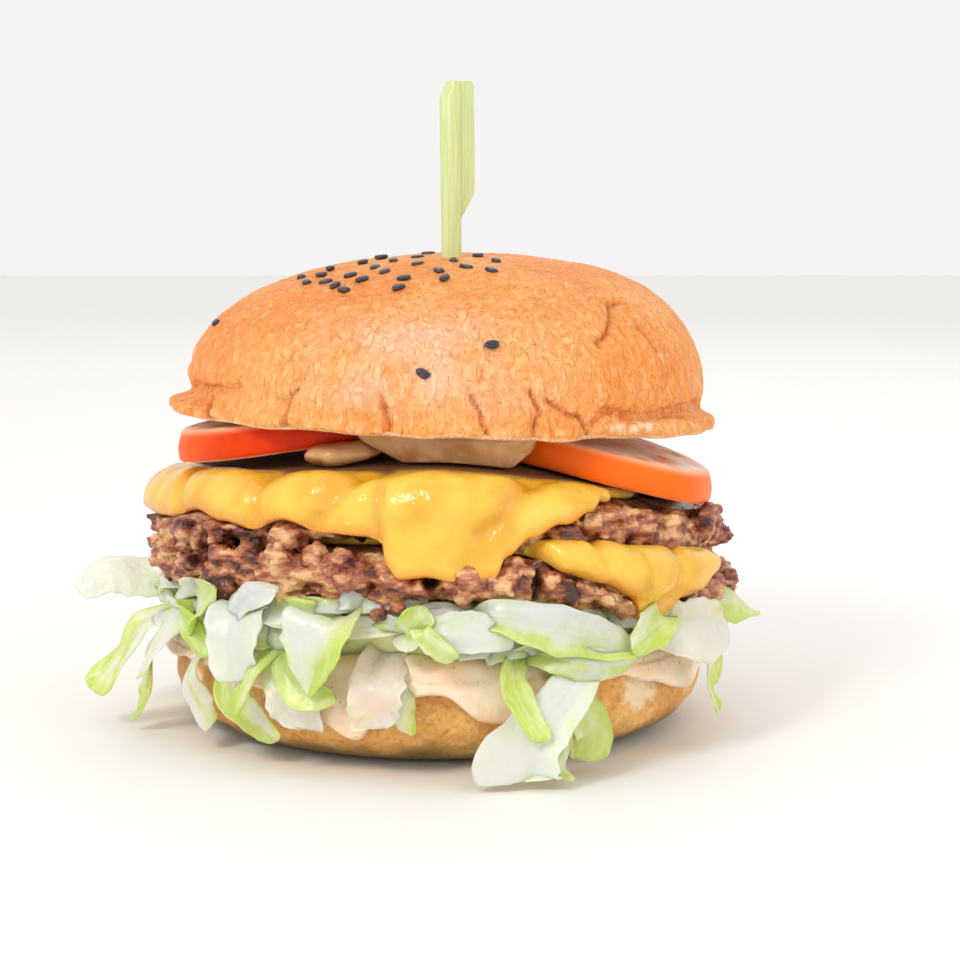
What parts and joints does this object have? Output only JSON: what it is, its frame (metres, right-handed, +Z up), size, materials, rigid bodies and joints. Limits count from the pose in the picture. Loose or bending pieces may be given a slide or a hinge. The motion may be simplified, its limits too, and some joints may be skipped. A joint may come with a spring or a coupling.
{
  "type": "double smash burger",
  "caption": "Seeded bun stacked with thin crusty patties, melted cheese, tomato slices, shredded lettuce and burger sauce, held by a bamboo pick.",
  "frame": {"origin": "on the floor under the middle of the burger, at the flat underside of the bottom bun", "axes": "+Z up along the stack, the side seen in the picture faces -Y, +X to the viewer's right"},
  "size_m": [0.1426, 0.1338, 0.1324],
  "materials": {
    "bamboo": "pale fresh bamboo, satin, fine straight fibres along the stick",
    "bun_crust": "golden orange baked crust, matte, finely wrinkled and mottled, with black sesame seeds",
    "mayo": "cream-coloured dressing, smooth and glossy",
    "tomato": "ripe red-orange skin, wet gloss, with paler pink flesh on the cut faces",
    "cheese": "melted yellow cheese, soft gloss with creases and thin translucent edges",
    "beef": "seared coarse minced beef, dark brown crust with tan and reddish crumbs, moist highlights",
    "lettuce": "thin crisp iceberg leaves, translucent, white ribs to yellow-green edges",
    "burger_sauce": "pale peach burger sauce, glossy, with tiny dark flecks",
    "bun_heel": "golden brown bottom crust, matte, darker toasted edge underneath and pale crumb where it is torn"
  },
  "bodies": {
    "root": {"pick": "bamboo", "bun_crown": "bun_crust", "mayo": "mayo", "tomato_left": "tomato", "tomato_right": "tomato", "cheese_upper": "cheese", "patty_upper": "beef", "cheese_lower": "cheese", "patty_lower": "beef", "lettuce": "lettuce", "sauce": "burger_sauce", "bun_heel": "bun_heel"}
  },
  "joints": []
}
